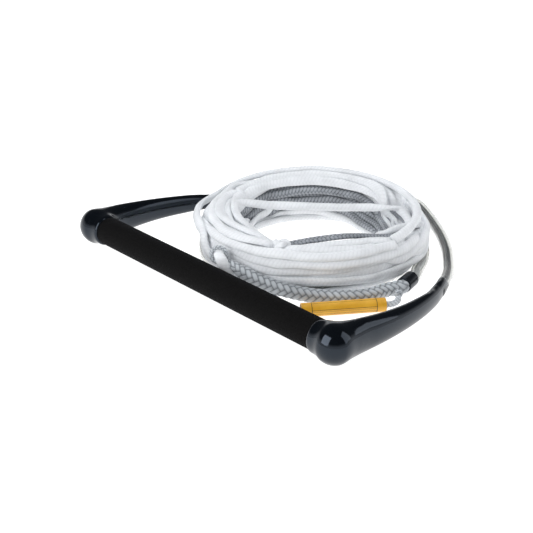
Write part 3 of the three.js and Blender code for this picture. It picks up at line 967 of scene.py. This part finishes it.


# in each rope, the first colour is painted shade in the weave's creases, the second its crowns
white_rope = rope_material("white_braid", (0.76, 0.775, 0.795), (0.835, 0.85, 0.87), 0.12)
grey_rope = rope_material("grey_braid", (0.11, 0.12, 0.135), (0.41, 0.43, 0.46), 0.3)
handle_grey = rope_material("handle_braid", (0.20, 0.215, 0.23), (0.60, 0.63, 0.66), 0.25)
hitch_grey = rope_material("light_grey_braid", (0.16, 0.18, 0.20), (0.58, 0.61, 0.64), 0.12)
tag_grey = rope_material("tag_braid", (0.30, 0.32, 0.35), (0.72, 0.75, 0.78), 0.08)
dark_rope = rope_material("dark_braid", (0.004, 0.005, 0.007), (0.045, 0.05, 0.06), 0.2, 0.5)


def gloss_material(name, colour, rough, grain=0.0, tint=(1.0, 1.0, 1.0)):
    material, tree, shader = new_material(name)
    marks = noise(tree, 60.0, 4.0)
    dark = tuple(c * 0.8 for c in colour)
    tree.links.new(ramp(tree, marks, 0.35, 0.65, dark, colour), shader.inputs["Base Color"])
    smudge = new_node(tree, "MapRange")
    set_inputs(smudge, {"To Min": rough * 0.8, "To Max": rough * 1.3})
    tree.links.new(noise(tree, 35.0, 3.0), smudge.inputs["Value"])
    tree.links.new(smudge.outputs["Result"], shader.inputs["Roughness"])
    shader.inputs["Specular Tint"].default_value = (*tint, 1)
    if grain > 0:
        add_bump(tree, shader, noise(tree, 900.0, 2.0), grain, 0.0002)
    return material


COOL = (0.70, 0.82, 1.0)
arm_rubber = gloss_material("gloss_black_urethane", (0.002, 0.0028, 0.004), 0.09, grain=0.02,
                            tint=COOL)
ferrule_black = gloss_material("shrink_tube_black", (0.004, 0.005, 0.006), 0.24, grain=0.05,
                               tint=COOL)
apex_black = gloss_material("moulded_black", (0.005, 0.006, 0.008), 0.3, grain=0.08, tint=COOL)
nylon_black = gloss_material("nylon_black", (0.012, 0.014, 0.018), 0.45)
plug_foam = gloss_material("plug_foam", (0.03, 0.03, 0.028), 0.85, grain=0.5)


def foam_material():
    material, tree, shader = new_material("pebbled_foam")
    cells = new_node(tree, "TexVoronoi")
    cells.inputs["Scale"].default_value = 900.0
    tree.links.new(new_node(tree, "TexCoord").outputs["Object"], cells.inputs["Vector"])
    grain = noise(tree, 2600.0, 2.0)
    both = new_node(tree, "Math")
    both.operation = "ADD"
    tree.links.new(cells.outputs["Distance"], both.inputs[0])
    tree.links.new(grain, both.inputs[1])
    tree.links.new(ramp(tree, both.outputs[0], 0.4, 1.1, (0.002, 0.002, 0.002),
                   (0.006, 0.0058, 0.0058)), shader.inputs["Base Color"])
    set_inputs(shader, {
        "Roughness": 0.8, "Specular IOR Level": 0.04, "Sheen Weight": 0.015,
        "Sheen Roughness": 0.25, "Sheen Tint": (0.6, 0.7, 0.9, 1)})
    add_bump(tree, shader, both.outputs[0], 0.6, 0.0006)
    return material


def vinyl_material():
    material, tree, shader = new_material("clear_vinyl")
    haze = noise(tree, 90.0, 3.0)
    tree.links.new(ramp(tree, haze, 0.3, 0.7, (0.82, 0.823, 0.805), (0.91, 0.913, 0.895)),
              shader.inputs["Base Color"])
    set_inputs(shader, {"Transmission Weight": 0.95, "Roughness": 0.035, "IOR": 1.3})
    return material


def label_material():
    """Amber vinyl with plain lines along it and a line round it near each end."""
    material, tree, shader = new_material("amber_vinyl_label")
    uv = new_node(tree, "UVMap")
    uv.uv_map = "UVMap"
    split = new_node(tree, "SeparateXYZ")
    tree.links.new(uv.outputs["UV"], split.inputs["Vector"])

    def math_node(kind, first, second):
        node = new_node(tree, "Math")
        node.operation = kind
        for index, value in enumerate((first, second)):
            if isinstance(value, (int, float)):
                node.inputs[index].default_value = value
            elif value is not None:
                tree.links.new(value, node.inputs[index])
        return node.outputs[0]

    def near(value, at, width):
        away = math_node("ABSOLUTE", math_node("SUBTRACT", value, at), None)
        return math_node("LESS_THAN", away, width)

    along = math_node("MULTIPLY", split.outputs["Y"], 0.01)
    around = split.outputs["X"]
    wall, margin = 0.0014, 0.009  # the end's face comes first in the UV map's length
    start, stop = wall + margin, wall + label_length - margin
    rings = math_node("MAXIMUM", near(along, start, 0.00028), near(along, stop, 0.00028))
    between = math_node("MULTIPLY", math_node("GREATER_THAN", along, start),
                        math_node("LESS_THAN", along, stop))
    lines = None
    for at in (0.22, 0.04, 0.0, 0.94, 0.90, 0.72, 0.54, 0.5, 0.46):
        mark = near(around, at, 0.0045)
        lines = mark if lines is None else math_node("MAXIMUM", lines, mark)
    marks = math_node("MAXIMUM", rings, math_node("MULTIPLY", lines, between))
    tone = noise(tree, 70.0, 3.0)
    amber = ramp(tree, tone, 0.3, 0.7, (0.72, 0.36, 0.02), (0.86, 0.47, 0.04))
    mix = new_node(tree, "Mix")
    mix.data_type = "RGBA"
    tree.links.new(marks, mix.inputs[0])
    tree.links.new(amber, mix.inputs[6])
    mix.inputs[7].default_value = (0.03, 0.02, 0.01, 1)
    tree.links.new(mix.outputs[2], shader.inputs["Base Color"])
    shader.inputs["Roughness"].default_value = 0.38
    return material


def metal_material():
    material, tree, shader = new_material("bar_aluminium")
    brushed = noise(tree, 40.0, 4.0, stretch=(1.0, 30.0, 30.0))
    tree.links.new(ramp(tree, brushed, 0.3, 0.7, (0.42, 0.43, 0.45), (0.6, 0.61, 0.63)),
              shader.inputs["Base Color"])
    set_inputs(shader, {"Metallic": 1.0, "Roughness": 0.35})
    return material


foam = foam_material()
clear = vinyl_material()
amber = label_material()
metal = metal_material()


def paint(obj, material):
    obj.data.materials.clear()
    obj.data.materials.append(material)


def settle(obj, body, node, finish):
    """A piece's finish and body, and any node it stands for."""
    paint(obj, finish)
    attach(obj, body)
    if node:
        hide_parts(node)


# ---------- what each piece is ----------
for side, sign in SIDES:
    body = f"arm_{side}"
    obj = mouldings[side]
    paint(obj, arm_rubber)
    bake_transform(obj)
    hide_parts(f"end_cap_{side}", f"float_arm_{side}")
    tip = to_row(arm_centre(1.0) * [sign, 1, 1])
    for piece, node, finish in (
            (sleeves[side], f"bridle_sleeve_{side}", clear),
            (legs[side], f"bridle_rope_{side}", dark_rope)):
        paint(piece, finish)
        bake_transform(piece)
        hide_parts(node)

for obj, node, body, slot_name, finish in (
        (grip, "grip_sleeve", "handle", "grip_foam", foam),
        (label, "label_sleeve", "label", "label_vinyl", amber),
        (ferrule, "leader_ferrule", "handle", "moulded_rubber", ferrule_black),
        (apex, "apex_joiner", "handle", "moulded_rubber", apex_black),
        (leader_sleeve, "leader_sleeve", "handle", "clear_vinyl", clear),
        (hitch_loop, "handle_line_loop", "handle", "grey_rope", hitch_grey)):
    settle(obj, body, node, finish)

coil_nodes = {
    "mainline_white_1": "mainline_coil_white", "mainline_grey": "mainline_coil_grey",
    "mainline_crossing_strand": "mainline_crossing", "mainline_end_strand": "mainline_end_loop",
}
for obj, path, diameter, far_end in cords:
    grey = "grey" in obj.name
    settle(obj, "handle", coil_nodes.get(obj.name),
           grey_rope if grey else white_rope)
settle(tag_knot, "handle", "tag_knot", hitch_grey)
settle(end_knot, "handle", None, white_rope)

for obj, path, node, slot_name, finish, diameter, far_end, knots in (
        (leader_core, leader_path, "leader_rope", "white_rope", white_rope, 0.0068, "object", []),
        (handle_line, handle_path, "handle_line", "grey_rope", handle_grey, 0.0128, "object",
         [hitch_loop]),
        (tag_line, tag_path, "tag_line", "grey_rope", tag_grey, 0.0058, "knot", [tag_knot])):
    settle(obj, "handle", node, finish)

kept_nodes = {"bar_tube": metal}
for side, _ in SIDES:
    kept_nodes[f"bridle_knot_{side}"] = dark_rope
    kept_nodes[f"knot_washer_{side}"] = nylon_black
    kept_nodes[f"bar_plug_{side}"] = plug_foam
for node, finish in kept_nodes.items():
    paint(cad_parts[node], finish)

# ---------- floor, light ----------
floor_mesh = bpy.data.meshes.new("floor")
reach = 3.0
floor_mesh.from_pydata([(-reach, -reach, 0), (reach, -reach, 0), (reach, reach, 0),
                        (-reach, reach, 0)], [], [(0, 1, 2, 3)])
floor = linked("floor", floor_mesh)
floor.location.z = -0.0002
material, tree, shader = new_material("pale_floor")
set_inputs(shader, {
    "Base Color": (0.45, 0.45, 0.45, 1), "Roughness": 0.9, "Specular IOR Level": 0.0,
    "Emission Color": (1, 1, 1, 1), "Emission Strength": 0.96})
paint(floor, material)

# a studio white about the horizon and dark overhead, with two soft boxes and two fills
world = bpy.data.worlds.new("studio")
world.use_nodes = True
tree = world.node_tree
background = tree.nodes["Background"]
direction = new_node(tree, "TexCoord")
height = new_node(tree, "SeparateXYZ")
tree.links.new(direction.outputs["Generated"], height.inputs["Vector"])
sky = ramp(tree, height.outputs["Z"], 0.10, 0.34, (1.0, 1.0, 1.0), (0.07, 0.075, 0.085))
tree.links.new(sky, background.inputs["Color"])
background.inputs["Strength"].default_value = 1.0
scene.world = world
scene.view_settings.view_transform = "Standard"


def softbox(name, at, target, size, power, reflected=True):
    data = bpy.data.lights.new(name, "AREA")
    data.shape = "SQUARE"
    data.size = size
    data.energy = power
    data.color = (0.97, 0.985, 1.0)
    aimed(name, data, at, target).visible_glossy = reflected


softbox("front_box", (0.0, -0.85, 0.44), (0.05, -0.08, 0), 0.65, 5.4)
softbox("side_box", (0.71, 0.345, 0.53), (0.05, -0.05, 0), 0.7, 2.4)
softbox("top_fill", (-0.05, 0.25, 1.1), (0.0, 0.05, 0.03), 1.0, 6.8, reflected=False)
softbox("back_fill", (-0.75, 0.30, 0.75), (-0.05, 0.0, 0.03), 0.9, 3.6, reflected=False)
